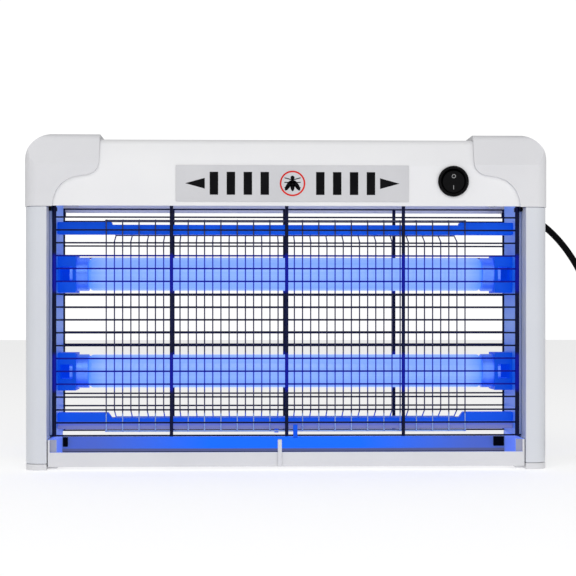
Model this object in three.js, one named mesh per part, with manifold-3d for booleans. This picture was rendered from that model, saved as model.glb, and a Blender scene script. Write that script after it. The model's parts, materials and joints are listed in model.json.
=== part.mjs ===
// Electric insect killer: a wire-guarded frame with two ultraviolet tubes and a high-voltage wire grid.
// Millimetres, +Z up. The origin is on the floor under the middle of the case, +X to the viewer's right
// when the switch faces the viewer, +Y towards the back.
import * as THREE from "three";
import { mergeVertices } from "three/addons/utils/BufferGeometryUtils.js";
import Module from "manifold-3d";

const wasm = await Module();
wasm.setup();

// ---------------------------------------------------------------- driving dimensions
const gap = 0.3; // between pieces that touch
const slack = 0.6; // each side of a piece that slides or swings
const past = 1; // how far a cut or a joined piece runs past the surface it meets

const frameWidth = 388.6; // over the two side posts
const caseDepth = 90;
const caseHeight = 250;
const headHeight = 54.6; // corner cap, from the post's top edge to its crown
const postWidth = 16.3;
const postWall = 2.4;
const postCorner = 10; // radius of the upright outer corners
const postSlot = 44; // opening in the post's inner face
const footHeight = 4.7;
const footPlug = 7; // how far a foot reaches up into its post

const capOverhang = 0.7; // caps beyond the posts at the sides
const capProud = 3.6; // caps above the housing
const capFace = 2; // caps in front of the housing
const capWall = 2.4;
const capCorner = 22; // radius of the cap's upper outer corner
const capLength = 55.6; // along the top edge
const capLap = 20.8; // along the bottom edge
// Inner edge of a cap below the crease: an upper curve, a short shelf and a lower curve.
const capWave = { above: 3, drop: 7.4, shelf: 12.6, shelfDrop: 8.2, lowerInset: 2, lowerDrop: 10 };
const capReach = 5; // hollow beyond the cap's inner edge
const housingWall = 2.2;
const housingLift = 0.8; // the housing's lower edge above the post's top
const creaseHeight = 31.4; // upright part of the head's front
const shoulderHeight = 50; // top of the sloping part
const slopeInset = 5; // how far the slope leans back
const crownInset = 12; // where the flat crown starts
const crownEase = 1; // how far the crown's curve leans in at its start
const housingLap = 2; // housing over each post
const floorRise = 7.2; // housing floor above the posts
const floorThickness = 2;
const bossRadius = 3.8;
const screwRadius = 1.5;
const screwHead = 3;
const screwLength = 14;
const screwHeadHeight = 2;
const screwHeadEdge = 1.4;
const screwHoleDepth = 16;
const bossInsetX = 15;
const bossInsetY = 10;

const plateThickness = 4.1; // inner side plates
const plateDepth = 51;
const plateBottom = 23.6;
const leadHole = 3;

const guardOffset = 28.5; // guards in front of and behind the middle
const guardRods = 19;
const guardBottom = 24.5;
const guardHeadroom = 4.4; // hinge rod below the housing floor
const guardRodRadius = 0.6;
const guardUprightRadius = 1.1;
const guardEdgeInset = 3.5; // outer uprights from the posts
const guardUprights = [-86.5, 0, 88];
// Stiffened block at each upper corner of a guard.
const guardEye = { length: 3.6, inset: 0.4, front: 1.4, back: 1.2, top: 2.4, bottom: 5.4 };
const guardBush = { front: 4, drop: 5 }; // pivot bush round the hinge rod
const guardClip = { half: 1.6, front: 3, back: 2.2, drop: 2, short: 1.6 }; // holds the two lowest rods
const latchOffset = 6.5; // clip at the foot of each guard, right of the middle

const tubeRadius = 12.9;
const tubeCapLength = 14;
const tubeOffset = 2.5; // behind the middle
const glassInset = 0.5; // glass inside the end caps
const upperTubeDrop = 56.2; // upper tube's axis below the housing floor
const lowerTubeHeight = 71.9;
const pinSpacing = 12.7;
const pinRadius = 1.18;
const pinLength = 6.9;
const holderWall = 1.1; // of a lampholder round its tube
const holderDepth = 13.3;
const holderSocket = 5.3;
const holderSlot = 11;
const holderLip = 2.5; // in front of the slot

const gridOffset = -17; // plane of the high-voltage wires
const wireRadius = 0.55;
const wirePitch = 6.2;
const wireInset = 36; // bars' ends beyond the last wire, at least
const barDepth = 9;
const upperBarDrop = { bottom: 26.4, top: 17 }; // below the housing floor
const upperBarStep = 2; // the bar's middle below its ends
const lowerBar = { bottom: 28.4, top: 36.8, armTop: 41 };
const armClearance = 2.1; // last return wire to a bar's taller end
const armSlope = 3;
const liveStrip = 2; // height of the strips that join the live wires
const stripThickness = 1.2;
const stripEnd = 1; // strips beyond the last wire
const lugHalf = 0.4; // half the width of a return wire's end
const returnTie = 1; // height of the strips behind the return wires
const returnBendDrop = 31.8; // upper bend of the return wires below the housing floor
const returnBendHeight = 42.8; // their lower bend
const returnRail = { offset: 3.5, size: 4, drop: 24.8, height: 35.1, lap: 0.5 };

const trayWall = 1.6;
const trayBottom = 2.4;
const trayFront = 13.2; // height of its front edge
const traySide = 22.6;
const trayRear = 18.5;
const trayCheek = 6.6; // solid blocks at the front corners
const cheekSet = 1.2; // blocks behind the front wall's face
const cheekDepth = 4;
const trayFace = 2; // its front face behind the posts' front
const tabWidth = 3;
const tabOffset = -7;
const tabFront = 1.8; // in front of the tray
const tabHook = 1.6; // behind the tray's front wall
const ledgeWidth = 7; // ledges on the feet that the tray slides on
const ledgeHeight = [0.7, 2.1];
const ledgeInset = 4;
const railThickness = 2.5;
const railHeight = 15.6;
const railInset = 0.8;

const bezelRadius = 11.5;
const barrelRadius = 10;
const barrelLength = 16;
const rockerRadius = 8.1;
const rockerWell = 9.2;
const rockerWellDepth = 8.5;
const rockerRise = 2.9; // rocker's crown in front of its pivot
const rockerTilt = 8; // degrees each way
const rockerPivotDepth = 3; // pivot behind the bezel's face
const rockerBack = 0.5; // back of the disc behind the pivot
const rockerHeel = 3; // radius of the round heel on the pivot
const switchInset = 71.1; // switch's axis from the case's side
const switchClear = 0.1; // barrel above the housing floor
const terminal = { width: 6.3, thickness: 0.8, length: 9, spacing: 9 };

const label = { leftInset: 112.3, rightInset: 104.4, rise: 3.9, creaseMargin: 0.5, thickness: 0.4 };

const ballast = { length: 62, depth: 30, height: 26, spacing: 70, middle: -85 };
const board = { length: 62, depth: 44, thickness: 1.6, middle: 48 };
const transformer = { length: 22, depth: 20, height: 18, left: 16 }; // left of the board's middle
const capacitor = { radius: 6, length: 22, right: 4 };
const terminalBlock = { length: 26, depth: 14, height: 12, inset: 28 }; // from the housing's end and rear

const cordRadius = 2.7;
const coilMeanRadius = 30;
const coilLayers = 3;
const coilRows = 2;
const coilCentre = [282, -10];
const tieThickness = 1.2;
const tieHalfWidth = 3;
const reliefInset = 44; // strain relief from the case's side
const reliefRise = 15.6; // above the posts
const reliefLength = 26;
const reliefBase = 7;
const reliefNeck = 5;
const reliefFlange = 3;
const reliefInside = 2; // neck behind the housing's wall
const reliefWall = { root: 2.2, tip: 0.8 }; // round the cord
const plug = { width: 35.3, thickness: 13.7, length: 22, shoulder: 7.7, sleeve: 14 };
const plugSleeveWall = { tip: 1, root: 2.4 }; // round the cord
const plugPin = { radius: 2, length: 19, spacing: 19 };

// The free lead: straight out of the strain relief, down behind the right post, into the coil's outer turn.
const leadPoints = [
  [151, 69.3, 211], [151.8, 76.8, 210.9], [155.4, 84.6, 210.4], [161.5, 90.6, 209.6], [169.2, 94.2, 208.4],
  [178, 95.6, 206.4], [190, 95.8, 203], [203, 93.6, 198.2], [216, 89.5, 190.3], [228, 84.6, 178.2],
  [238, 80.2, 164], [246.3, 76, 147.5], [252, 71.2, 127], [255, 65.5, 103],
  [255.8, 59, 77.5], [255, 52.3, 52.5], [252.8, 45, 30], [250, 36.6, 13.2], [248, 27.4, 6],
  [247, 18, 4.5], [246.7, 10.6, 4.5],
];
const tailPoints = [[317.4, 10.6, 9.8], [317.8, 17, 9.2], [318.4, 26, 7.7], [319, 34, 7.3]];

// ---------------------------------------------------------------- derived places
const halfFrame = frameWidth / 2;
const halfDepth = caseDepth / 2;
const halfCase = halfFrame + capOverhang;
const postInner = halfFrame - postWidth;
const postTop = caseHeight - headHeight;
const housingFace = halfDepth - capFace;
const housingBottom = postTop + housingLift;
const housingTop = caseHeight - capProud;
const housingHalf = postInner + housingLap;
const floorBottom = postTop + floorRise;
const floorTop = floorBottom + floorThickness;
const plateOuter = postInner - gap;
const plateInner = plateOuter - plateThickness;
const holderSize = 2 * (tubeRadius + gap + holderWall);
const holderInner = plateInner - gap - holderDepth;
const tubeLength = 2 * (holderInner + holderSocket - gap); // over the end caps
const tubeHeights = { upper: floorBottom - upperTubeDrop, lower: lowerTubeHeight };
const guardTop = floorBottom - guardHeadroom;
const guardPitch = (guardTop - guardBottom) / (guardRods - 1);
const guardEdge = postInner - guardEdgeInset;
const uprightOffset = guardUprightRadius - 0.6 * guardRodRadius;
const gridBack = gridOffset + wireRadius + gap;
const barSpan = plateInner - gap;
const wireSteps = Math.floor((barSpan - wireInset) / wirePitch); // each side of the middle wire
const wireHalfSpan = wireSteps * wirePitch;
const armStart = wireHalfSpan - wirePitch + armClearance; // where a bar's taller end begins
const upperBar = { bottom: floorBottom - upperBarDrop.bottom, top: floorBottom - upperBarDrop.top };
const returnBend = { upper: floorBottom - returnBendDrop, lower: returnBendHeight };
const returnRailHeights = { upper: floorBottom - returnRail.drop, lower: returnRail.height };
const trayHalf = postInner - slack;
const railBack = halfDepth - railInset;
const trayY = [trayFace - halfDepth, railBack - railThickness - gap];
const switchOffset = halfCase - switchInset;
const switchHeight = floorTop + barrelRadius + switchClear;
const bezelBack = -housingFace - gap;
const rockerPivot = rockerPivotDepth - halfDepth;
const reliefAt = [halfCase - reliefInset, postTop + reliefRise];

// ---------------------------------------------------------------- helpers
function solid(geometry) {
  const bare = geometry.clone();
  bare.deleteAttribute("normal");
  bare.deleteAttribute("uv");
  const merged = mergeVertices(bare, 1e-3);
  return new wasm.Manifold(new wasm.Mesh({
    numProp: 3,
    vertProperties: new Float32Array(merged.attributes.position.array),
    triVerts: new Uint32Array(merged.index.array),
  }));
}

const join = (pieces) => pieces.reduce((whole, piece) => whole.add(piece));
const cut = (whole, ...tools) => tools.reduce((rest, tool) => rest.subtract(tool), whole);

function box([x0, x1], [y0, y1], [z0, z1]) {
  const geometry = new THREE.BoxGeometry(x1 - x0, y1 - y0, z1 - z0);
  return solid(geometry.translate((x0 + x1) / 2, (y0 + y1) / 2, (z0 + z1) / 2));
}

const alongAxis = {
  x: (geometry) => geometry.rotateZ(-Math.PI / 2),
  y: (geometry) => geometry,
  z: (geometry) => geometry.rotateX(Math.PI / 2),
};

// A round rod from start to end along one axis, through the point given for the other two.
function rod(axis, start, end, at, radius, sides = 24, endRadius = radius) {
  const geometry = new THREE.CylinderGeometry(endRadius, radius, end - start, sides);
  const middle = (start + end) / 2;
  const place = { x: [middle, at[0], at[1]], y: [at[0], middle, at[1]], z: [at[0], at[1], middle] }[axis];
  return solid(alongAxis[axis](geometry).translate(...place));
}

function extruded(shape, depth, curveSegments) {
  return new THREE.ExtrudeGeometry(shape, { depth, bevelEnabled: false, curveSegments, steps: 1 });
}

// Outlines drawn in XY, XZ or YZ and carried along the third axis.
const prismZ = (shape, z0, z1, segments = 8) => solid(extruded(shape, z1 - z0, segments).translate(0, 0, z0));
const prismY = (shape, y0, y1, segments = 8) =>
  solid(extruded(shape, y1 - y0, segments).rotateX(Math.PI / 2).translate(0, y1, 0));

function prismX(shape, x0, x1, segments = 8) {
  const turn = new THREE.Matrix4().makeBasis(
    new THREE.Vector3(0, 1, 0),
    new THREE.Vector3(0, 0, 1),
    new THREE.Vector3(1, 0, 0),
  );
  return solid(extruded(shape, x1 - x0, segments).applyMatrix4(turn).translate(x0, 0, 0));
}

function outline(points) {
  return new THREE.Shape(points.map(([u, v]) => new THREE.Vector2(u, v)));
}

function turned(points, sides) {
  return new THREE.LatheGeometry(points.map(([r, y]) => new THREE.Vector2(r, y)), sides);
}

const group = new THREE.Group();
group.name = "insect_killer";

const finish = {
  whitePaint: { color: 0xe9e9ee, roughness: 0.42, metalness: 0 },
  whitePlastic: { color: 0xe4e5ea, roughness: 0.38, metalness: 0 },
  palePlastic: { color: 0xdfe6f5, roughness: 0.4, metalness: 0 },
  blackPlastic: { color: 0x0c0c0d, roughness: 0.45, metalness: 0 },
  blackWire: { color: 0x101014, roughness: 0.4, metalness: 0.3 },
  gridWire: { color: 0x8a8c90, roughness: 0.3, metalness: 1 },
  tubeGlass: { color: 0x5c86ff, roughness: 0.15, metalness: 0 },
  aluminium: { color: 0xb9bcc2, roughness: 0.35, metalness: 1 },
  brass: { color: 0xc9a24a, roughness: 0.35, metalness: 1 },
  steel: { color: 0x9c9fa3, roughness: 0.35, metalness: 1 },
  ballastSteel: { color: 0x6d7076, roughness: 0.5, metalness: 0.9 },
  greenBoard: { color: 0x1d5a35, roughness: 0.5, metalness: 0 },
  capacitorFilm: { color: 0x7a2f1c, roughness: 0.4, metalness: 0 },
  greyLabel: { color: 0xb4b5b8, roughness: 0.55, metalness: 0 },
};
const materials = Object.fromEntries(
  Object.entries(finish).map(([name, values]) => [name, new THREE.MeshStandardMaterial(values)]),
);

function add(name, shape, material, parent = group) {
  let geometry = shape;
  if (!shape.isBufferGeometry) {
    const { numProp, vertProperties, triVerts } = shape.getMesh();
    geometry = new THREE.BufferGeometry();
    geometry.setAttribute("position", new THREE.BufferAttribute(vertProperties, numProp));
    geometry.setIndex(new THREE.BufferAttribute(triVerts, 1));
  }
  geometry.computeVertexNormals();
  const mesh = new THREE.Mesh(geometry, materials[material]);
  mesh.name = name;
  parent.add(mesh);
  return mesh;
}

// The same piece at the right and, mirrored, at the left.
function addPair(name, shape, material) {
  add(`${name}_right`, shape, material);
  add(`${name}_left`, shape, material).scale.x = -1;
}

// ---------------------------------------------------------------- head: housing, floor and corner caps
// End outline of the head in YZ: upright faces, a sloping band and a rounded crown.
function headOutline(face, bottom, inset) {
  const crease = postTop + creaseHeight;
  const shoulder = postTop + shoulderHeight - inset;
  const crown = caseHeight - inset;
  const shape = new THREE.Shape();
  shape.moveTo(-face, bottom);
  shape.lineTo(face, bottom);
  shape.lineTo(face, crease);
  shape.lineTo(face - slopeInset, shoulder);
  shape.quadraticCurveTo(face - slopeInset - crownEase, crown, face - crownInset, crown);
  shape.lineTo(crownInset - face, crown);
  shape.quadraticCurveTo(slopeInset + crownEase - face, crown, slopeInset - face, shoulder);
  shape.lineTo(-face, crease);
  return shape;
}

// Plan of the case seen from above on the right: straight inside, rounded at the two outer corners.
function planOutline(inner, outer, half, corner) {
  const shape = new THREE.Shape();
  shape.moveTo(inner, -half);
  shape.lineTo(outer - corner, -half);
  shape.absarc(outer - corner, corner - half, corner, -Math.PI / 2, 0, false);
  shape.lineTo(outer, half - corner);
  shape.absarc(outer - corner, half - corner, corner, 0, Math.PI / 2, false);
  shape.lineTo(inner, half);
  return shape;
}

const bossPlaces = [-1, 1].flatMap((sx) => [-1, 1].map((sy) => [
  sx * (housingHalf - bossInsetX),
  sy * (housingFace - bossInsetY),
]));

const switchAt = [switchOffset, switchHeight];
const switchHole = () => rod("y", -halfDepth, -barrelLength, switchAt, barrelRadius + gap);
const reliefHole = () => rod("y", 0, halfDepth, reliefAt, reliefNeck + gap, 16);

function topHousing() {
  const outer = prismX(headOutline(housingFace, housingBottom, capProud), -housingHalf, housingHalf, 4);
  const inner = prismX(
    headOutline(housingFace - housingWall, housingBottom - past, capProud + housingWall),
    -housingHalf - past,
    housingHalf + past,
    4,
  );
  const bosses = bossPlaces.map((at) => cut(
    rod("z", floorTop + gap, housingTop - past, at, bossRadius, 12),
    rod("z", floorTop, floorTop + screwHoleDepth, at, screwRadius + gap, 8),
  ));
  return cut(join([cut(outer, inner), ...bosses]).intersect(outer), switchHole(), reliefHole());
}

function housingFloor() {
  const half = housingFace - housingWall - gap;
  const plate = box([-housingHalf, housingHalf], [-half, half], [floorBottom, floorTop]);
  const hole = (at) => rod("z", floorBottom - past, floorTop + past, at, screwRadius + gap, 8);
  return cut(plate, ...bossPlaces.map(hole));
}

function floorScrew() {
  const profile = [
    [0, -screwHeadHeight], [screwHead, -screwHeadEdge], [screwHead, 0],
    [screwRadius, 0], [screwRadius, screwLength], [0, screwLength],
  ];
  return turned(profile, 8).rotateX(Math.PI / 2);
}

// Front outline of the right cap in XZ: an S-shaped inner edge and a large outer corner.
function capOutline(inset, bottom) {
  const right = halfCase - inset;
  const crown = caseHeight - inset;
  const corner = capCorner - inset;
  const left = halfCase - capLength;
  const shape = new THREE.Shape();
  shape.moveTo(halfCase - capLap, bottom);
  shape.lineTo(right, bottom);
  shape.lineTo(right, crown - corner);
  shape.absarc(right - corner, crown - corner, corner, 0, Math.PI / 2, false);
  shape.lineTo(left, crown);
  const { above, drop, shelf, shelfDrop, lowerInset, lowerDrop } = capWave;
  const crease = postTop + creaseHeight;
  shape.lineTo(left, crease + above);
  shape.quadraticCurveTo(left, crease - drop, left + shelf, crease - shelfDrop);
  shape.quadraticCurveTo(halfCase - capLap - lowerInset, crease - lowerDrop, halfCase - capLap, bottom);
  return shape;
}

function cornerCap() {
  const bottom = postTop + gap;
  const far = halfCase - capLength - capReach;
  const outer = prismY(capOutline(0, bottom), -halfDepth, halfDepth, 6)
    .intersect(prismX(headOutline(halfDepth, bottom, 0), far, halfCase, 4))
    .intersect(prismZ(planOutline(far, halfCase, halfDepth, postCorner), bottom, caseHeight, 5));
  const inside = headOutline(halfDepth - capWall, bottom - past, capWall);
  const plan = planOutline(far, halfCase - capWall, halfDepth - capWall, postCorner - capWall);
  const hollow = prismX(inside, postInner - capLap, halfCase - capWall, 4)
    .intersect(prismZ(plan, bottom - past, caseHeight, 5))
    .intersect(prismY(cavityOutline(bottom - past), -halfDepth, halfDepth, 6));
  const housing = headOutline(housingFace + gap, bottom - past, capProud - gap);
  const seat = prismX(housing, far - past, housingHalf + gap, 4);
  return cut(outer, hollow, seat);
}

// Inside of the cap's outer corner, one wall in from its outside.
function cavityOutline(bottom) {
  const right = halfCase - capWall;
  const crown = caseHeight - capWall;
  const corner = capCorner - capWall;
  const shape = new THREE.Shape();
  shape.moveTo(halfCase - capLength - capReach, bottom);
  shape.lineTo(right, bottom);
  shape.lineTo(right, crown - corner);
  shape.absarc(right - corner, crown - corner, corner, 0, Math.PI / 2, false);
  shape.lineTo(halfCase - capLength - capReach, crown);
  return shape;
}

add("top_housing", topHousing(), "whitePaint");
add("housing_floor", housingFloor(), "whitePlastic");
bossPlaces.forEach(([x, y], i) => {
  add(`floor_screw_${i + 1}`, floorScrew(), "steel").position.set(x, y, floorBottom - gap);
});
addPair("corner_cap", cornerCap(), "whitePlastic");

// ---------------------------------------------------------------- sides: posts, feet, plates
const postPlan = () => planOutline(postInner, halfFrame, halfDepth, postCorner);

function sidePost() {
  const outer = prismZ(postPlan(), footHeight + gap, postTop, 6);
  const inside = planOutline(
    postInner + postWall,
    halfFrame - postWall,
    halfDepth - postWall,
    postCorner - postWall,
  );
  return cut(
    outer,
    prismZ(inside, 0, postTop + past, 6),
    box([postInner - past, postInner + postWall + past], [-postSlot / 2, postSlot / 2], [0, postTop + past]),
  );
}

function postFoot() {
  const pad = prismZ(postPlan(), 0, footHeight, 6);
  const inset = postWall + gap;
  const tongue = planOutline(postInner + inset, halfFrame - inset, halfDepth - inset, postCorner - inset);
  const reach = [ledgeInset - halfDepth, trayY[1]];
  const ledge = box([postInner - ledgeWidth, postInner + past], reach, ledgeHeight);
  return join([pad, ledge, prismZ(tongue, footHeight - past, footHeight + footPlug, 6)]);
}

function sidePlate() {
  const half = plateDepth / 2;
  const plate = box([plateInner, plateOuter], [-half, half], [plateBottom, floorBottom - gap]);
  const hole = (z) => rod("x", plateInner - past, plateOuter + past, [tubeOffset, z], leadHole, 12);
  return cut(plate, ...Object.values(tubeHeights).map(hole));
}

addPair("side_post", sidePost(), "whitePaint");
addPair("post_foot", postFoot(), "whitePlastic");
addPair("side_plate", sidePlate(), "palePlastic");

// ---------------------------------------------------------------- tubes and lampholders
// Right-hand lampholder around its tube's axis: a socket for the cap, a well for the pins and a front slot.
function lampholder() {
  const half = holderSize / 2;
  const outer = plateInner - gap;
  const wellEnd = holderInner + holderSocket + pinLength + gap;
  return cut(
    box([holderInner, outer], [-half, half], [-half, half]),
    rod("x", holderInner - past, holderInner + holderSocket, [0, 0], tubeRadius + gap, 24),
    rod("x", holderInner + holderSocket - past, wellEnd, [0, 0], pinSpacing / 2 + pinRadius + gap, 16),
    box([holderInner + holderLip, wellEnd - gap], [-half - past, 0], [-holderSlot / 2, holderSlot / 2]),
  );
}

function tubeGlass() {
  const half = tubeLength / 2 - tubeCapLength - gap;
  return rod("x", -half, half, [0, 0], tubeRadius - glassInset, 24);
}

// Metal cap with two contact pins, at the tube's right-hand end.
function tubeCap() {
  const end = tubeLength / 2;
  const pin = (side) => rod("x", end - past, end + pinLength, [0, (side * pinSpacing) / 2], pinRadius, 8);
  return join([rod("x", end - tubeCapLength, end, [0, 0], tubeRadius, 24), pin(-1), pin(1)]);
}

for (const [level, height] of Object.entries(tubeHeights)) {
  const at = new THREE.Group();
  at.position.set(0, tubeOffset, height);
  group.add(at);
  add(`uv_tube_${level}`, tubeGlass(), "tubeGlass", at);
  add(`tube_cap_${level}_right`, tubeCap(), "aluminium", at);
  add(`tube_cap_${level}_left`, tubeCap(), "aluminium", at).scale.x = -1;
  add(`lampholder_${level}_right`, lampholder(), "palePlastic", at);
  add(`lampholder_${level}_left`, lampholder(), "palePlastic", at).scale.x = -1;
}

// ---------------------------------------------------------------- high-voltage grid
function upperGridBar() {
  const back = gridBack + barDepth;
  return join([
    box([-barSpan, barSpan], [gridBack, back], [upperBar.bottom, upperBar.top - upperBarStep]),
    box([-barSpan, -armStart], [gridBack, back], [upperBar.bottom, upperBar.top]),
    box([armStart, barSpan], [gridBack, back], [upperBar.bottom, upperBar.top]),
  ]);
}

function lowerGridBar() {
  const shape = outline([
    [-barSpan, lowerBar.bottom], [barSpan, lowerBar.bottom], [barSpan, lowerBar.armTop],
    [armStart + armSlope, lowerBar.armTop], [armStart, lowerBar.top], [-armStart, lowerBar.top],
    [-armStart - armSlope, lowerBar.armTop], [-barSpan, lowerBar.armTop],
  ]);
  return prismY(shape, gridBack, gridBack + barDepth);
}

const wirePlaces = Array.from({ length: 2 * wireSteps + 1 }, (_, i) => i * wirePitch - wireHalfSpan);
const liveWires = wirePlaces.filter((_, i) => i % 2 === 0);
const returnWires = wirePlaces.filter((_, i) => i % 2 === 1);

const across = (places) => [places[0] - stripEnd, places[places.length - 1] + stripEnd];

// Live wires run straight in front of both bars, between two strips on the bars' edges.
function liveGrid() {
  const top = upperBar.top + gap;
  const bottom = lowerBar.bottom - gap - liveStrip;
  const wires = liveWires.map((x) => rod("z", bottom, top + liveStrip, [x, gridOffset], wireRadius, 4));
  const reach = [gridOffset, gridOffset + stripThickness];
  return join([
    ...wires,
    box(across(liveWires), reach, [top, top + liveStrip]),
    box(across(liveWires), reach, [bottom, bottom + liveStrip]),
  ]);
}

// Return wires lie between the live ones, short of the bars, and are tied behind by two thin strips.
function returnGrid() {
  const { upper, lower } = returnBend;
  const tieBack = gridBack + stripThickness / 2;
  const levels = [[lower, lower + returnTie], [upper - returnTie, upper]];
  const wires = returnWires.flatMap((x) => [
    rod("z", lower, upper, [x, gridOffset], wireRadius, 4),
    ...levels.map((level) => box([x - lugHalf, x + lugHalf], [gridOffset, tieBack], level)),
  ]);
  const ties = levels.map((level) => box(across(returnWires), [gridBack, tieBack], level));
  return join([...wires, ...ties]);
}

// Rail behind a bar with the slanting wire ends that hold the return grid; end is "upper" or "lower".
function returnRailComb(end) {
  const { offset, size, lap } = returnRail;
  const bend = returnBend[end] + (end === "upper" ? gap + lugHalf : -gap - lugHalf);
  const rail = returnRailHeights[end];
  const slant = outline([
    [gridBack, bend - lugHalf], [offset, rail - lugHalf],
    [offset, rail + lugHalf], [gridBack, bend + lugHalf],
  ]);
  return join([
    ...returnWires.map((x) => prismX(slant, x - lugHalf, x + lugHalf)),
    box(across(returnWires), [offset - lap, offset + stripThickness], [rail - size / 2, rail + size / 2]),
  ]);
}

add("upper_grid_bar", upperGridBar(), "palePlastic");
add("lower_grid_bar", lowerGridBar(), "palePlastic");
add("hv_grid_live", liveGrid(), "gridWire");
add("hv_grid_return", returnGrid(), "gridWire");
add("return_rail_upper", returnRailComb("upper"), "gridWire");
add("return_rail_lower", returnRailComb("lower"), "gridWire");

// ---------------------------------------------------------------- guards
// The front guard; the rear one is the same guard turned half round.
function guard() {
  const reach = plateOuter - gap;
  const rods = Array.from({ length: guardRods }, (_, i) => {
    const z = guardBottom + i * guardPitch;
    const half = i === 0 || i === guardRods - 1 ? reach : guardEdge + guardUprightRadius;
    return rod("x", -half, half, [-guardOffset, z], guardRodRadius, 4);
  });
  const uprights = [-guardEdge, ...guardUprights, guardEdge].map((x) => rod(
    "z",
    guardBottom - guardRodRadius,
    guardTop + guardRodRadius,
    [x, -guardOffset - uprightOffset],
    guardUprightRadius,
    4,
  ));
  const eyes = [-1, 1].map((side) => {
    const middle = side * (guardEdge - guardEye.inset);
    return box(
      [middle - guardEye.length / 2, middle + guardEye.length / 2],
      [-guardOffset - uprightOffset - guardEye.front, -guardOffset + guardEye.back],
      [guardTop - guardEye.bottom, guardTop - guardEye.top],
    );
  });
  return join([...rods, ...uprights, ...eyes]);
}

// Pivot bush that carries the hinge rod's right-hand end.
function guardPivot() {
  return cut(
    box(
      [guardEdge + guardUprightRadius + slack, plateOuter],
      [-guardOffset - guardBush.front, -plateDepth / 2 - gap],
      [guardTop - guardBush.drop, floorBottom - gap],
    ),
    rod("x", 0, plateOuter - gap / 2, [-guardOffset, guardTop], guardRodRadius + gap, 12),
  );
}

// Clip on the two lowest rods.
function guardLatch() {
  const { half, front, back, drop, short } = guardClip;
  const ends = [latchOffset - half, latchOffset + half];
  const block = box(
    ends,
    [-guardOffset - front, -guardOffset + back],
    [guardBottom - drop, guardBottom + guardPitch - short],
  );
  const at = [-guardOffset, guardBottom];
  const groove = rod("x", ends[0] - past, ends[1] + past, at, guardRodRadius + gap, 12);
  return cut(block, groove);
}

add("front_guard", guard(), "blackWire");
add("rear_guard", guard(), "blackWire").rotation.z = Math.PI;
add("front_guard_latch", guardLatch(), "palePlastic");
add("rear_guard_latch", guardLatch(), "palePlastic").rotation.z = Math.PI;
addPair("front_guard_pivot", guardPivot(), "blackPlastic");
for (const [side, sign] of [["right", 1], ["left", -1]]) {
  const bush = add(`rear_guard_pivot_${side}`, guardPivot(), "blackPlastic");
  bush.scale.set(sign, -1, 1);
}

// ---------------------------------------------------------------- collection tray and the rail behind it
function collectionTray() {
  const [front, back] = trayY;
  const inner = trayHalf - trayWall;
  const shell = cut(
    box([-trayHalf, trayHalf], [front, back], [trayBottom, traySide]),
    box([-inner, inner], [front + trayWall, back - trayWall], [trayBottom + trayWall, traySide + past]),
    box([-inner, inner], [front - past, front + trayWall + past], [trayFront, traySide + past]),
    box([-inner, inner], [back - trayWall - past, back + past], [trayRear, traySide + past]),
  );
  const cheeks = [-1, 1].map((side) => {
    const ends = [side * (trayHalf - trayCheek), side * (trayHalf - trayWall / 2)].sort((a, b) => a - b);
    return box(ends, [front + cheekSet, front + cheekDepth], [trayBottom, traySide]);
  });
  return join([shell, ...cheeks]);
}

// Upright grip tab on the tray's front wall.
function trayTab() {
  const front = trayY[0];
  const ends = [tabOffset, tabOffset + tabWidth];
  const hook = front + trayWall + gap + tabHook;
  return join([
    box(ends, [front - tabFront, front - gap], [trayBottom, traySide]),
    box(ends, [front - tabFront, hook], [trayFront + gap, traySide]),
  ]);
}

function rearRail() {
  const height = [trayBottom, trayBottom + railHeight];
  return box([-plateOuter, plateOuter], [railBack - railThickness, railBack], height);
}

add("collection_tray", collectionTray(), "whitePlastic");
add("tray_tab", trayTab(), "whitePlastic");
add("lower_rear_rail", rearRail(), "whitePaint");

// ---------------------------------------------------------------- switch, label and electrics
function switchBody() {
  const bezel = rod("y", -halfDepth, bezelBack, switchAt, bezelRadius, 32);
  const barrel = rod("y", bezelBack - past / 2, bezelBack + barrelLength, switchAt, barrelRadius);
  const well = rod("y", -halfDepth - past, rockerPivot + rockerWellDepth, switchAt, rockerWell);
  return cut(join([bezel, barrel]), well);
}

// Round rocker about its pivot, in its level position: a shallow V across the face, a round heel behind.
function rockerShape() {
  const side = rockerRadius + past;
  const lean = side * Math.tan(THREE.MathUtils.degToRad(rockerTilt));
  const edge = -rockerRise - lean;
  const face = outline([
    [rockerBack, -side], [rockerBack, side], [edge, side], [-rockerRise, 0], [edge, -side],
  ]);
  const disc = prismX(face, -side, side)
    .intersect(rod("y", edge - past, rockerBack + past, [0, 0], rockerRadius, 32));
  const heelHalf = 0.6 * rockerRadius;
  return join([disc, rod("x", -heelHalf, heelHalf, [0, 0], rockerHeel, 16)]);
}

function switchTerminal() {
  const { width, thickness, length } = terminal;
  return box([-width / 2, width / 2], [0, length], [-thickness / 2, thickness / 2]);
}

add("switch_body", switchBody(), "blackPlastic");
const rocker = add("switch_rocker", rockerShape(), "blackPlastic");
rocker.position.set(switchOffset, rockerPivot, switchHeight);
rocker.rotation.x = THREE.MathUtils.degToRad(rockerTilt);
[-1, 1].forEach((side) => {
  const blade = add(side > 0 ? "switch_terminal_upper" : "switch_terminal_lower", switchTerminal(), "brass");
  const height = switchHeight + (side * terminal.spacing) / 2;
  blade.position.set(switchOffset, bezelBack + barrelLength + gap, height);
});

function labelPlate() {
  return box(
    [label.leftInset - halfCase, halfCase - label.rightInset],
    [bezelBack - label.thickness, bezelBack],
    [postTop + label.rise, postTop + creaseHeight - label.creaseMargin],
  );
}

function onFloor(length, depth, height, middle, back = 0) {
  const bottom = floorTop + gap;
  return box(
    [middle - length / 2, middle + length / 2],
    [back - depth / 2, back + depth / 2],
    [bottom, bottom + height],
  );
}

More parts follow.
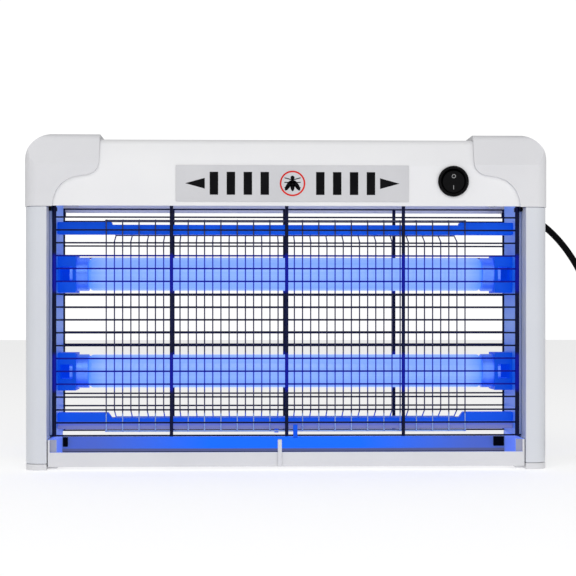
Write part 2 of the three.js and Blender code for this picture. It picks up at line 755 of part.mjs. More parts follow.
add("label_plate", labelPlate(), "greyLabel");
["left", "right"].forEach((side, i) => {
  const middle = ballast.middle + i * ballast.spacing;
  add(`ballast_${side}`, onFloor(ballast.length, ballast.depth, ballast.height, middle), "ballastSteel");
});
add("hv_circuit_board", onFloor(board.length, board.depth, board.thickness, board.middle), "greenBoard");
const boardTop = floorTop + 2 * gap + board.thickness;
const windingAt = board.middle - transformer.left;
const capacitorLeft = board.middle + capacitor.right;
add("hv_transformer", box(
  [windingAt - transformer.length / 2, windingAt + transformer.length / 2],
  [-transformer.depth / 2, transformer.depth / 2],
  [boardTop, boardTop + transformer.height],
), "blackPlastic");
add("hv_capacitor", rod(
  "x",
  capacitorLeft,
  capacitorLeft + capacitor.length,
  [0, boardTop + capacitor.radius],
  capacitor.radius,
), "capacitorFilm");
add("terminal_block", onFloor(
  terminalBlock.length,
  terminalBlock.depth,
  terminalBlock.height,
  housingHalf - terminalBlock.inset,
  housingFace - terminalBlock.inset,
), "whitePlastic");

// ---------------------------------------------------------------- mains lead
function strainRelief() {
  const face = housingFace + gap;
  const { root, tip } = reliefWall;
  const neck = rod("y", housingFace - housingWall - reliefInside, face + past, reliefAt, reliefNeck, 16);
  const flange = rod("y", face, face + reliefFlange, reliefAt, reliefBase, 16);
  const ends = [face + reliefFlange - past, housingFace + reliefLength];
  const taper = rod("y", ...ends, reliefAt, cordRadius + root, 16, cordRadius + tip);
  return join([neck, flange, taper]);
}

function cordTube(points, steps) {
  const section = new THREE.Shape();
  section.absarc(0, 0, cordRadius, 0, 2 * Math.PI, false);
  const extrudePath = new THREE.CatmullRomCurve3(points.map((point) => new THREE.Vector3(...point)));
  return new THREE.ExtrudeGeometry(section, { steps, bevelEnabled: false, curveSegments: 5, extrudePath });
}

const coilHalf = coilLayers * cordRadius;
const coilHeight = 2 * coilRows * cordRadius;

function cordCoil() {
  const [inner, outer] = [coilMeanRadius - coilHalf, coilMeanRadius + coilHalf];
  return turned([[inner, 0], [outer, 0], [outer, coilHeight], [inner, coilHeight], [inner, 0]], 36)
    .rotateX(Math.PI / 2);
}

// Band round the coil's turns, in the plane that holds the coil's axis.
function cordTie() {
  const inner = coilHalf + gap;
  const outer = inner + tieThickness;
  const about = (half) => [coilMeanRadius - half, coilMeanRadius + half];
  return cut(
    box(about(outer), [-tieHalfWidth, tieHalfWidth], [-gap - tieThickness, coilHeight + gap + tieThickness]),
    box(about(inner), [-tieHalfWidth - past, tieHalfWidth + past], [-gap, coilHeight + gap]),
  );
}

function plugBody() {
  const { width, thickness, length, shoulder, sleeve } = plug;
  const { tip, root } = plugSleeveWall;
  const body = outline([
    [-width / 2, sleeve + length], [-width / 2, sleeve + shoulder], [-width / 4, sleeve],
    [width / 4, sleeve], [width / 2, sleeve + shoulder], [width / 2, sleeve + length],
  ]);
  return join([
    prismZ(body, -thickness / 2, thickness / 2),
    rod("y", 0, sleeve + past, [0, 0], cordRadius + tip, 12, cordRadius + root),
  ]);
}

add("strain_relief", strainRelief(), "blackPlastic");
add("power_cord", cordTube(leadPoints, 44), "blackPlastic");
add("cord_tail", cordTube(tailPoints, 4), "blackPlastic");
const coil = new THREE.Group();
coil.position.set(...coilCentre, tieThickness + 2 * gap);
group.add(coil);
add("cord_coil", cordCoil(), "blackPlastic", coil);
add("cord_tie", cordTie(), "blackPlastic", coil).rotation.z = -Math.PI / 3;

const plugAt = new THREE.Group();
const [tailX, tailY, tailZ] = tailPoints[tailPoints.length - 1];
plugAt.position.set(tailX, tailY + gap, tailZ);
group.add(plugAt);
add("plug_body", plugBody(), "blackPlastic", plugAt);
["left", "right"].forEach((side, i) => {
  const start = plug.sleeve + plug.length + gap;
  const x = (i - 0.5) * plugPin.spacing;
  const pin = rod("y", start, start + plugPin.length, [x, 0], plugPin.radius, 12);
  add(`plug_pin_${side}`, pin, "brass", plugAt);
});

export default group;
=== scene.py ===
import json
from math import cos, pi, radians, sin

import bmesh
import bpy
from mathutils import Matrix, Vector


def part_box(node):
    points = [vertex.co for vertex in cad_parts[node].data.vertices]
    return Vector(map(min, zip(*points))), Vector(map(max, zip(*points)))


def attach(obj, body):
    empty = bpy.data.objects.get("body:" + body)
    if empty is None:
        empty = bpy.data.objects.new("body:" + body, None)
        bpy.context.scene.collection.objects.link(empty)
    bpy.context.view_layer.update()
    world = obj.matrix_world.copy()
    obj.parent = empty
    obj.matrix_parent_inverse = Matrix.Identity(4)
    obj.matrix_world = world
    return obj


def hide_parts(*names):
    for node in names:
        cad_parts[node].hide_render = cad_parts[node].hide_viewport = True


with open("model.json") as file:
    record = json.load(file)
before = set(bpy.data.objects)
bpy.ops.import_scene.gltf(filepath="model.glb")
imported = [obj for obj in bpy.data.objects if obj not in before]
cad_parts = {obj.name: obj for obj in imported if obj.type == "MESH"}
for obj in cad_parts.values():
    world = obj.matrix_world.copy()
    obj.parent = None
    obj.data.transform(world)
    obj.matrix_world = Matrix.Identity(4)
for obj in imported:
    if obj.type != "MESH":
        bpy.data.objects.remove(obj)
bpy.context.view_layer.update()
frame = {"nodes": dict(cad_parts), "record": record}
mm = 0.001
print("frame loaded:", len(frame["nodes"]), "nodes")

# camera: a long lens at mid height, a little left of the middle
cameraView = {"place": (-0.033, -1.195, 0.115), "turnDegrees": -1.67, "lens": 96.9, "shift": 0.047}


def addCamera(view):
    data = bpy.data.cameras.new("viewCamera")
    data.lens = view["lens"]
    data.shift_y = view["shift"]
    camera = bpy.data.objects.new("viewCamera", data)
    camera.location = view["place"]
    camera.rotation_euler = (radians(90), 0, radians(view["turnDegrees"]))
    bpy.context.scene.collection.objects.link(camera)
    bpy.context.scene.camera = camera


addCamera(cameraView)


# finishes
def startFinish(name):
    finish = bpy.data.materials.new(name)
    finish.use_nodes = True
    tree = finish.node_tree
    shader = tree.nodes["Principled BSDF"]
    where = tree.nodes.new("ShaderNodeTexCoord")
    return finish, tree, shader, where.outputs["Object"]


def splitPlace(tree, where):
    split = tree.nodes.new("ShaderNodeSeparateXYZ")
    tree.links.new(where, split.inputs["Vector"])
    return split.outputs["X"], split.outputs["Y"], split.outputs["Z"]


def addMath(tree, operation, first, second=None):
    step = tree.nodes.new("ShaderNodeMath")
    step.operation = operation
    for socket, value in zip(step.inputs, (first, second)):
        if isinstance(value, float):
            socket.default_value = value
        elif value is not None:
            tree.links.new(value, socket)
    return step.outputs[0]


def addNoise(tree, where, size, detail=3.0, stretch=(1, 1, 1)):
    mapping = tree.nodes.new("ShaderNodeMapping")
    mapping.inputs["Scale"].default_value = stretch
    tree.links.new(where, mapping.inputs["Vector"])
    noise = tree.nodes.new("ShaderNodeTexNoise")
    noise.inputs["Scale"].default_value = size
    noise.inputs["Detail"].default_value = detail
    tree.links.new(mapping.outputs["Vector"], noise.inputs["Vector"])
    return noise.outputs["Fac"]


def addRange(tree, value, low, high, fromLow=0.3, fromHigh=0.7):
    spread = tree.nodes.new("ShaderNodeMapRange")
    spread.inputs["From Min"].default_value = fromLow
    spread.inputs["From Max"].default_value = fromHigh
    spread.inputs["To Min"].default_value = low
    spread.inputs["To Max"].default_value = high
    tree.links.new(value, spread.inputs["Value"])
    return spread.outputs["Result"]


def addMix(tree, value, first, second):
    mix = tree.nodes.new("ShaderNodeMix")
    mix.data_type = "RGBA"
    tree.links.new(value, mix.inputs["Factor"])
    for socket, colour in ((mix.inputs["A"], first), (mix.inputs["B"], second)):
        if isinstance(colour, tuple):
            socket.default_value = (*colour, 1)
        else:
            tree.links.new(colour, socket)
    return mix.outputs["Result"]


grainDepth = 0.0002


def addBump(tree, shader, height, strength):
    bump = tree.nodes.new("ShaderNodeBump")
    bump.inputs["Strength"].default_value = strength
    bump.inputs["Distance"].default_value = grainDepth
    tree.links.new(height, bump.inputs["Height"])
    tree.links.new(bump.outputs["Normal"], shader.inputs["Normal"])


# A finish with a drifting shade, a roughness that follows it and a fine surface grain.
def makeFinish(name, look):
    finish, tree, shader, where = startFinish(name)
    drift = addNoise(tree, where, look["driftScale"], 4.0, look.get("stretch", (1, 1, 1)))
    shade = addMix(tree, addRange(tree, drift, 0, 1), look["dark"], look["light"])
    tree.links.new(shade, shader.inputs["Base Color"])
    tree.links.new(addRange(tree, drift, *look["roughness"]), shader.inputs["Roughness"])
    grain = addNoise(tree, where, look["grainScale"], 2.0, look.get("stretch", (1, 1, 1)))
    addBump(tree, shader, grain, look["grain"])
    shader.inputs["Metallic"].default_value = look.get("metallic", 0)
    shader.inputs["Coat Weight"].default_value = look.get("coat", 0)
    shader.inputs["Coat Roughness"].default_value = 0.2
    shader.inputs["Specular IOR Level"].default_value = look.get("specular", 0.5)
    if "glow" in look:
        shader.inputs["Emission Color"].default_value = (*look["glow"], 1)
        shader.inputs["Emission Strength"].default_value = look["glowStrength"]
    return finish


finishLooks = {
    "whiteEnamel": {"dark": (0.83, 0.83, 0.85), "light": (0.875, 0.875, 0.885),
                    "roughness": (0.34, 0.44),
                    "driftScale": 14, "grainScale": 700, "grain": 0.10, "coat": 0.2},
    # the posts: a darker copy of the white enamel, painted shade
    "shadedPostEnamel": {"dark": (0.68, 0.70, 0.75), "light": (0.72, 0.74, 0.78), "roughness": (0.34, 0.44),
                   "driftScale": 14, "grainScale": 700, "grain": 0.10, "coat": 0.2},
    "whiteMoulding": {"dark": (0.72, 0.72, 0.745), "light": (0.765, 0.765, 0.785),
                      "roughness": (0.38, 0.50),
                      "driftScale": 18, "grainScale": 1600, "grain": 0.16},
    # painted shade: a grey-lavender copy of the white moulding, used on the tray's front cheeks
    "shadedMoulding": {"dark": (0.30, 0.32, 0.46), "light": (0.36, 0.38, 0.52), "roughness": (0.4, 0.55),
                       "driftScale": 30, "grainScale": 1500, "grain": 0.14},
    # housing floor: white moulding with a grey glow, painted light on its shaded underside
    "tubeLitFloor": {"dark": (0.70, 0.70, 0.75), "light": (0.76, 0.76, 0.80), "roughness": (0.4, 0.55),
                     "driftScale": 18, "grainScale": 1600, "grain": 0.16,
                     "glow": (0.25, 0.24, 0.27), "glowStrength": 1.0},
    # pale plastic beside the tubes: painted blue tube light in its colour, and a painted blue glow
    "blueLitMoulding": {"dark": (0.001, 0.055, 0.50), "light": (0.003, 0.085, 0.70),
                        "roughness": (0.35, 0.5),
                        "driftScale": 30, "grainScale": 1500, "grain": 0.12, "specular": 0.12,
                        "glow": (0.0, 0.07, 0.6), "glowStrength": 0.42},
    "blackMoulding": {"dark": (0.0015, 0.0015, 0.002), "light": (0.0045, 0.0045, 0.005),
                      "roughness": (0.3, 0.45),
                      "driftScale": 40, "grainScale": 2200, "grain": 0.18, "specular": 0.05},
    # tube caps: spun aluminium with painted blue tube light in its colour and a painted blue glow
    "aluminiumWithPaintedBlueLight": {"dark": (0.10, 0.22, 0.80), "light": (0.16, 0.32, 0.95), "roughness": (0.25, 0.4),
                      "driftScale": 120, "grainScale": 1400, "grain": 0.2, "metallic": 0.6,
                      "stretch": (1, 0.1, 0.1), "glow": (0.02, 0.14, 0.9), "glowStrength": 0.35},
    "contactBrass": {"dark": (0.55, 0.38, 0.12), "light": (0.76, 0.58, 0.25), "roughness": (0.2, 0.34),
                     "driftScale": 150, "grainScale": 1400, "grain": 0.1, "metallic": 1},
    "platedSteel": {"dark": (0.42, 0.43, 0.45), "light": (0.60, 0.61, 0.63), "roughness": (0.25, 0.4),
                    "driftScale": 140, "grainScale": 1600, "grain": 0.15, "metallic": 1},
    "varnishedSteel": {"dark": (0.10, 0.10, 0.11), "light": (0.20, 0.20, 0.22), "roughness": (0.4, 0.6),
                       "driftScale": 60, "grainScale": 900, "grain": 0.4, "metallic": 0.6,
                       "stretch": (0.2, 1, 6)},
    "solderMask": {"dark": (0.015, 0.10, 0.04), "light": (0.03, 0.19, 0.08), "roughness": (0.25, 0.4),
                   "driftScale": 160, "grainScale": 1200, "grain": 0.2},
    "dippedFilm": {"dark": (0.20, 0.04, 0.02), "light": (0.34, 0.08, 0.04), "roughness": (0.2, 0.35),
                   "driftScale": 120, "grainScale": 900, "grain": 0.2},
    "greyFilm": {"dark": (0.60, 0.60, 0.625), "light": (0.66, 0.66, 0.68), "roughness": (0.45, 0.6),
                 "driftScale": 25, "grainScale": 1500, "grain": 0.12},
    "blackInk": {"dark": (0.003, 0.003, 0.004), "light": (0.008, 0.008, 0.009), "roughness": (0.5, 0.65),
                 "driftScale": 60, "grainScale": 2000, "grain": 0.1, "specular": 0.03},
    "redInk": {"dark": (0.62, 0.015, 0.01), "light": (0.78, 0.03, 0.02), "roughness": (0.5, 0.65),
               "driftScale": 60, "grainScale": 2000, "grain": 0.1, "specular": 0.2},
    "greyInk": {"dark": (0.30, 0.30, 0.30), "light": (0.40, 0.40, 0.40), "roughness": (0.5, 0.6),
                "driftScale": 60, "grainScale": 2000, "grain": 0.1},
    "rubberJacket": {"dark": (0.0015, 0.0015, 0.002), "light": (0.004, 0.004, 0.0045),
                     "roughness": (0.5, 0.7),
                     "driftScale": 50, "grainScale": 1800, "grain": 0.25, "specular": 0.05},
}
finishes = {name: makeFinish(name, look) for name, look in finishLooks.items()}

tubeHeights = (0.1464, 0.0719)


# How far a height is from the middle of the nearer tube.
def addTubeDistance(tree, height):
    upper, lower = (addMath(tree, "ABSOLUTE", addMath(tree, "SUBTRACT", height, tubeHeight))
                    for tubeHeight in tubeHeights)
    return addMath(tree, "MINIMUM", upper, lower)


tubeGlow = {"middle": (0.215, 0.38, 0.95), "ends": (0.03, 0.20, 0.88), "strength": 1.0,
            "litHalf": 0.140, "fullHalf": 0.155, "banding": (0.92, 1.10), "glass": (0.04, 0.07, 0.2),
            "roughness": 0.18}


# Lit phosphor: pale blue along the tube, deeper blue near its cathodes, with faint bands.
def makeTubeGlow(look):
    finish, tree, shader, where = startFinish("litPhosphor")
    away = addMath(tree, "ABSOLUTE", splitPlace(tree, where)[0])
    towardEnd = addRange(tree, away, 0, 1, look["litHalf"], look["fullHalf"])
    glow = addMix(tree, towardEnd, look["middle"], look["ends"])
    band = addRange(tree, addNoise(tree, where, 60, 2.0, (0.05, 1, 6)), *look["banding"])
    scale = tree.nodes.new("ShaderNodeVectorMath")
    scale.operation = "SCALE"
    tree.links.new(glow, scale.inputs[0])
    tree.links.new(band, scale.inputs["Scale"])
    tree.links.new(scale.outputs["Vector"], shader.inputs["Emission Color"])
    shader.inputs["Emission Strength"].default_value = look["strength"]
    shader.inputs["Base Color"].default_value = (*look["glass"], 1)
    shader.inputs["Roughness"].default_value = look["roughness"]
    return finish


finishes["litPhosphor"] = makeTubeGlow(tubeGlow)

# painted light and shade for the side plates
platePaintedLight = {"pale": (0.25, 0.40, 0.85), "deep": (0.02, 0.17, 0.80), "rim": (0.60, 0.60, 0.72),
             "rimStart": 0.1762, "rimBlend": 0.0004, "deepHalf": 0.006, "reach": 0.036,
             "glow": (0.0, 0.03, 0.13), "roughness": 0.42}


# Side plates: white plastic with painted blue tube light, deepest beside each tube, painted lilac shade at
# the rim by the post, and a faint painted blue glow.
def makeSidePlateFinish(look):
    finish, tree, shader, where = startFinish("tubeLitPlate")
    across, _, height = splitPlace(tree, where)
    away = addRange(tree, addTubeDistance(tree, height), 0, 1, look["deepHalf"], look["reach"])
    lightAndShade = addMix(tree, away, look["deep"], look["pale"])
    atRim = addRange(tree, addMath(tree, "ABSOLUTE", across), 0, 1, look["rimStart"],
                     look["rimStart"] + look["rimBlend"])
    lightAndShade = addMix(tree, atRim, lightAndShade, look["rim"])
    tree.links.new(lightAndShade, shader.inputs["Base Color"])
    shader.inputs["Emission Color"].default_value = (*look["glow"], 1)
    shader.inputs["Emission Strength"].default_value = 1
    shader.inputs["Roughness"].default_value = look["roughness"]
    addBump(tree, shader, addNoise(tree, where, 1500), 0.12)
    return finish


finishes["tubeLitPlate"] = makeSidePlateFinish(platePaintedLight)

# painted light for the tray's inside: blue tube light, painted shade at the gap and ledge, a painted glow
trayPaintedLight = {"middle": (0.015, 0.20, 0.89), "ends": (0.108, 0.178, 0.49), "startHalf": 0.06, "endHalf": 0.15,
            "gapTop": (0.0064, 0.0069), "ledgeTop": (0.0084, 0.0094), "gapShade": (0.012, 0.011, 0.02),
            "ledgeShade": (0.13, 0.14, 0.22), "floorPaintedLight": (0.16, 0.27, 0.80), "backWall": (0.036, 0.0385),
            "glow": 0.5, "specular": 0.25, "roughness": 0.5}


# Inside of the tray: painted blue light, even on the floor, fading to the ends on the back wall, with a
# painted shaded foot along the back wall.
def makeTrayFinish(look):
    finish, tree, shader, where = startFinish("tubeLitTray")
    across, back, height = splitPlace(tree, where)
    toEnd = addRange(tree, addMath(tree, "ABSOLUTE", across), 0, 1, look["startHalf"], look["endHalf"])
    shade = addMix(tree, toEnd, look["middle"], look["ends"])
    shade = addMix(tree, addRange(tree, height, 0, 1, *look["ledgeTop"]), look["ledgeShade"], shade)
    shade = addMix(tree, addRange(tree, height, 0, 1, *look["gapTop"]), look["gapShade"], shade)
    shade = addMix(tree, addRange(tree, back, 0, 1, *look["backWall"]), look["floorPaintedLight"], shade)
    tree.links.new(shade, shader.inputs["Base Color"])
    tree.links.new(shade, shader.inputs["Emission Color"])
    shader.inputs["Emission Strength"].default_value = look["glow"]
    shader.inputs["Specular IOR Level"].default_value = look["specular"]
    shader.inputs["Roughness"].default_value = look["roughness"]
    addBump(tree, shader, addNoise(tree, where, 1500), 0.12)
    return finish


finishes["tubeLitTray"] = makeTrayFinish(trayPaintedLight)

barPaintedLight = {"top": (0.003, 0.075, 0.62), "foot": (0.17, 0.19, 0.42), "footTop": (0.0303, 0.0347),
           "drift": 1.12, "glow": 0.42, "specular": 0.12, "roughness": (0.35, 0.5)}


# Lower bar: painted blue light from the tube above, fading to a painted lilac shade along its foot, with a
# painted glow.
def makeBarFinish(look):
    finish, tree, shader, where = startFinish("tubeLitBar")
    height = splitPlace(tree, where)[2]
    drift = addRange(tree, addNoise(tree, where, 30, 4.0), 0, 1)
    lit = addMix(tree, drift, look["top"], tuple(value * look["drift"] for value in look["top"]))
    shade = addMix(tree, addRange(tree, height, 0, 1, *look["footTop"]), look["foot"], lit)
    tree.links.new(shade, shader.inputs["Base Color"])
    tree.links.new(shade, shader.inputs["Emission Color"])
    shader.inputs["Emission Strength"].default_value = look["glow"]
    shader.inputs["Specular IOR Level"].default_value = look["specular"]
    tree.links.new(addRange(tree, drift, *look["roughness"], 0, 1), shader.inputs["Roughness"])
    addBump(tree, shader, addNoise(tree, where, 1500), 0.12)
    return finish


finishes["tubeLitBar"] = makeBarFinish(barPaintedLight)

# wire colours with painted light: blue glare beside the tubes, a pale highlight on the low ends
wireColourAndPaintedLight = {"plain": (0.045, 0.045, 0.10), "drift": 1.5, "paintedLowHighlight": (0.34, 0.50, 0.86),
            "lowEnd": (0.0395, 0.0415), "paintedTubeGlare": (0.04, 0.08, 0.62), "tubeHalf": 0.0125,
            "tubeBlend": 0.003, "metallic": 0.55, "roughness": 0.32}
coatColourAndPaintedLight = {"dark": (0.002, 0.003, 0.022), "light": (0.004, 0.007, 0.05), "paintedTubeGlare": (0.002, 0.006, 0.34),
            "tubeHalf": 0.0125, "tubeBlend": 0.003, "specular": 0.12, "roughness": (0.35, 0.5)}


# One where a height lies beside a tube, falling to nothing just past its glass: the mask for painted tube
# glare.
def addTubeBand(tree, height, look):
    return addRange(tree, addTubeDistance(tree, height), 1, 0, look["tubeHalf"],
                    look["tubeHalf"] + look["tubeBlend"])


# Guard wire: dark coating, with painted blue glare where it crosses a tube.
def makeCoatedWireFinish(look):
    finish, tree, shader, where = startFinish("coatedWire")
    height = splitPlace(tree, where)[2]
    drift = addNoise(tree, where, 60, 4.0)
    shade = addMix(tree, addRange(tree, drift, 0, 1), look["dark"], look["light"])
    shade = addMix(tree, addTubeBand(tree, height, look), shade, look["paintedTubeGlare"])
    tree.links.new(shade, shader.inputs["Base Color"])
    tree.links.new(addRange(tree, drift, *look["roughness"]), shader.inputs["Roughness"])
    shader.inputs["Specular IOR Level"].default_value = look["specular"]
    addBump(tree, shader, addNoise(tree, where, 1800, 2.0), 0.2)
    return finish


finishes["coatedWire"] = makeCoatedWireFinish(coatColourAndPaintedLight)


# Drawn wire, dull along its length, with painted blue glare where it crosses a tube and a painted pale blue
# highlight on its low end at the lower bar.
def makeWireFinish(look):
    finish, tree, shader, where = startFinish("drawnWire")
    height = splitPlace(tree, where)[2]
    shade = addMix(tree, addRange(tree, addNoise(tree, where, 300), 0, 1), look["plain"],
                   tuple(value * look["drift"] for value in look["plain"]))
    shade = addMix(tree, addTubeBand(tree, height, look), shade, look["paintedTubeGlare"])
    shade = addMix(tree, addRange(tree, height, 1, 0, *look["lowEnd"]), shade, look["paintedLowHighlight"])
    tree.links.new(shade, shader.inputs["Base Color"])
    shader.inputs["Metallic"].default_value = look["metallic"]
    shader.inputs["Roughness"].default_value = look["roughness"]
    addBump(tree, shader, addNoise(tree, where, 1500, 2.0, (1, 1, 0.1)), 0.15)
    return finish


finishes["drawnWire"] = makeWireFinish(wireColourAndPaintedLight)
print("finishes ready:", len(finishes))


# making pieces
def placePiece(name, mesh, finish, body, nodes=(), smoothDegrees=32):
    piece = bpy.data.objects.new(name, mesh)
    bpy.context.scene.collection.objects.link(piece)
    if not mesh.materials:
        mesh.materials.append(finishes[finish])
    for polygon in mesh.polygons:
        polygon.use_smooth = True
    mesh.set_sharp_from_angle(angle=radians(smoothDegrees))
    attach(piece, body)
    if nodes:
        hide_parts(*nodes)
    return piece


def meshFrom(bm, name):
    bmesh.ops.recalc_face_normals(bm, faces=bm.faces)
    mesh = bpy.data.meshes.new(name)
    bm.to_mesh(mesh)
    bm.free()
    return mesh


def softenEdges(piece, width, segments=3, angle=35):
    bevel = piece.modifiers.new("softEdges", "BEVEL")
    bevel.width = width
    bevel.segments = segments
    bevel.limit_method = "ANGLE"
    bevel.angle_limit = radians(angle)
    bevel.harden_normals = True
    bevel.use_clamp_overlap = True


weldGap = 1e-6
flatDegrees = 0.6  # faces closer than this are one flat face


def copyOfNode(node):
    bm = bmesh.new()
    bm.from_mesh(frame["nodes"][node].data)
    bmesh.ops.remove_doubles(bm, verts=bm.verts, dist=weldGap)
    bmesh.ops.dissolve_limit(bm, angle_limit=radians(flatDegrees), verts=bm.verts, edges=bm.edges)
    return bm


bodyOfNode = {node: body for body, nodes in frame["record"]["behaviour"]["bodies"].items()
              for node in nodes}


# A moulded or machined piece: the part's own shape with its edges rounded.
def finishNode(node, finish, edge, segments=3):
    mesh = meshFrom(copyOfNode(node), node + "_finished")
    piece = placePiece(node + "_finished", mesh, finish, bodyOfNode[node], [node])
    softenEdges(piece, edge * mm, segments)
    return piece


def addRod(bm, start, end, radius, sides=12):
    start, end = Vector(start), Vector(end)
    turn = (end - start).to_track_quat("Z", "Y").to_matrix().to_4x4()
    place = Matrix.Translation((start + end) / 2) @ turn
    bmesh.ops.create_cone(bm, cap_ends=True, segments=sides, radius1=radius, radius2=radius,
                          depth=(end - start).length, matrix=place)


def addBlock(bm, low, high):
    low, high = Vector(low), Vector(high)
    place = Matrix.Translation((low + high) / 2) @ Matrix.Diagonal((*(high - low), 1))
    return bmesh.ops.create_cube(bm, size=1, matrix=place)["verts"]


# mains lead: out of the back, down behind the right post, coiled on the floor
leadPath = [
    (151, 69.3, 211), (151.8, 76.8, 210.9), (155.4, 84.6, 210.4), (161.5, 90.6, 209.6), (169.2, 94.2, 208.4),
    (178, 95.6, 206.4), (190, 95.8, 203), (203, 93.6, 198.2), (216, 89.5, 190.3), (228, 84.6, 178.2),
    (238, 80.2, 164), (246.3, 76, 147.5), (252, 71.2, 127), (255, 65.5, 103), (255.8, 59, 77.5),
    (255, 52.3, 52.5), (252.8, 45, 30), (250, 36.6, 13.2), (248, 27.4, 6),
    (247, 18, 4.5), (246.7, 10.6, 4.5),
]
tailPath = [(317.4, 10.6, 9.8), (317.8, 17, 9.2), (318.4, 26, 7.7), (319, 34, 7.3)]
leadSizes = {"diameter": 5.4, "coilCentre": (282, -10), "coilMean": 30, "coilLift": 1.8,
             "turns": 5.5, "stepsPerTurn": 36, "crossFrom": 0.45, "climbBow": 0.3, "length": 1.4}


def smoothPath(points, steps=6):
    ends = [points[0]] + list(points) + [points[-1]]
    path = []
    for a, b, c, d in zip(ends, ends[1:], ends[2:], ends[3:]):
        a, b, c, d = Vector(a), Vector(b), Vector(c), Vector(d)
        for step in range(steps):
            t = step / steps
            path.append(0.5 * (2 * b + (c - a) * t + (2 * a - 5 * b + 4 * c - d) * t ** 2
                               + (3 * b - a - 3 * c + d) * t ** 3))
    return path + [Vector(points[-1])]


# Rings are taken from the outside in, then from the inside out on top.
def coilPath(sizes):
    pitch = sizes["diameter"]
    rings = [(1, 0), (0, 0), (-1, 0), (-1, 1), (0, 1), (1, 1)]
    path = []
    for step in range(int(sizes["turns"] * sizes["stepsPerTurn"]) + 1):
        turn, part = divmod(step / sizes["stepsPerTurn"], 1)
        here = Vector(rings[int(turn)])
        onward = Vector(rings[min(int(turn) + 1, len(rings) - 1)])
        ease = max(0.0, (part - sizes["crossFrom"]) / (1 - sizes["crossFrom"]))
        across, up = here.lerp(onward, ease * ease * (3 - 2 * ease))
        if onward.y > here.y:  # the climb to the upper rings leans in, clear of its neighbours
            across -= sizes["climbBow"] * sin(pi * ease)
        radius = sizes["coilMean"] + across * pitch
        angle = pi + 2 * pi * (turn + part)
        path.append(Vector((
            sizes["coilCentre"][0] + radius * cos(angle),
            sizes["coilCentre"][1] + radius * sin(angle),
            sizes["coilLift"] + pitch * (0.5 + up),
        )))
    return path


def addLead():
    points = smoothPath(leadPath) + coilPath(leadSizes) + smoothPath(tailPath)
    curve = bpy.data.curves.new("mainsLead", "CURVE")
    curve.dimensions = "3D"
    curve.bevel_depth = leadSizes["diameter"] / 2 * mm
    curve.bevel_resolution = 3
    curve.use_fill_caps = True
    spline = curve.splines.new("POLY")
    spline.points.add(len(points) - 1)
    for target, point in zip(spline.points, points):
        target.co = (*(point * mm), 1)
    spline.use_smooth = True
    curve.materials.append(finishes["rubberJacket"])
    lead = bpy.data.objects.new("mainsLead", curve)
    bpy.context.scene.collection.objects.link(lead)
    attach(lead, "case")
    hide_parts("power_cord", "cord_coil", "cord_tail")
    length = sum((b - a).length for a, b in zip(points, points[1:])) * mm
    print("lead length", round(length, 3))
    return lead


lead = addLead()
leadFittings = [
    finishNode("strain_relief", "blackMoulding", 0.5),
    finishNode("plug_body", "blackMoulding", 1.6, 4),
    finishNode("plug_pin_left", "contactBrass", 0.7),
    finishNode("plug_pin_right", "contactBrass", 0.7),
    finishNode("cord_tie", "rubberJacket", 0.4),
]
print("lead laid")

# case: head, posts, feet and plates
caseFinishes = {
    "top_housing": ("whiteEnamel", 0.5), "corner_cap_left": ("whiteMoulding", 0.7),
    "corner_cap_right": ("whiteMoulding", 0.7), "side_post_left": ("shadedPostEnamel", 0.5),
    "side_post_right": ("shadedPostEnamel", 0.5), "post_foot_left": ("whiteMoulding", 0.5),
    "post_foot_right": ("whiteMoulding", 0.5), "housing_floor": ("tubeLitFloor", 0.3),
    "side_plate_left": ("tubeLitPlate", 0.6), "side_plate_right": ("tubeLitPlate", 0.6),
    "lower_rear_rail": ("whiteEnamel", 0.5), "tray_tab": ("whiteMoulding", 0.6),
    "upper_grid_bar": ("blueLitMoulding", 0.8), "lower_grid_bar": ("tubeLitBar", 0.8),
    "lampholder_upper_left": ("blueLitMoulding", 0.8), "lampholder_upper_right": ("blueLitMoulding", 0.8),
    "lampholder_lower_left": ("blueLitMoulding", 0.8), "lampholder_lower_right": ("blueLitMoulding", 0.8),
    "front_guard_latch": ("blueLitMoulding", 0.5), "rear_guard_latch": ("blueLitMoulding", 0.5),
    "front_guard_pivot_left": ("blackMoulding", 0.3), "front_guard_pivot_right": ("blackMoulding", 0.3),
    "rear_guard_pivot_left": ("blackMoulding", 0.3), "rear_guard_pivot_right": ("blackMoulding", 0.3),
    "switch_body": ("blackMoulding", 0.5), "switch_terminal_upper": ("contactBrass", 0.15),
    "switch_terminal_lower": ("contactBrass", 0.15), "switch_rocker": ("blackMoulding", 0.5),
    "ballast_left": ("varnishedSteel", 0.8), "ballast_right": ("varnishedSteel", 0.8),
    "hv_circuit_board": ("solderMask", 0.2), "hv_transformer": ("blackMoulding", 0.6),
    "hv_capacitor": ("dippedFilm", 1.2), "terminal_block": ("whiteMoulding", 0.6),
    "tube_cap_upper_left": ("aluminiumWithPaintedBlueLight", 0.6), "tube_cap_upper_right": ("aluminiumWithPaintedBlueLight", 0.6),
    "tube_cap_lower_left": ("aluminiumWithPaintedBlueLight", 0.6), "tube_cap_lower_right": ("aluminiumWithPaintedBlueLight", 0.6),
    "floor_screw_1": ("platedSteel", 0.3), "floor_screw_2": ("platedSteel", 0.3),
    "floor_screw_3": ("platedSteel", 0.3), "floor_screw_4": ("platedSteel", 0.3),
}
casePieces = {node: finishNode(node, finish, edge) for node, (finish, edge) in caseFinishes.items()}
print("case pieces finished:", len(casePieces))


# tubes
tubeShape = {"radius": 12.7, "neck": 9.0, "shoulder": 3.0, "shoulderSteps": 6, "sides": 48}


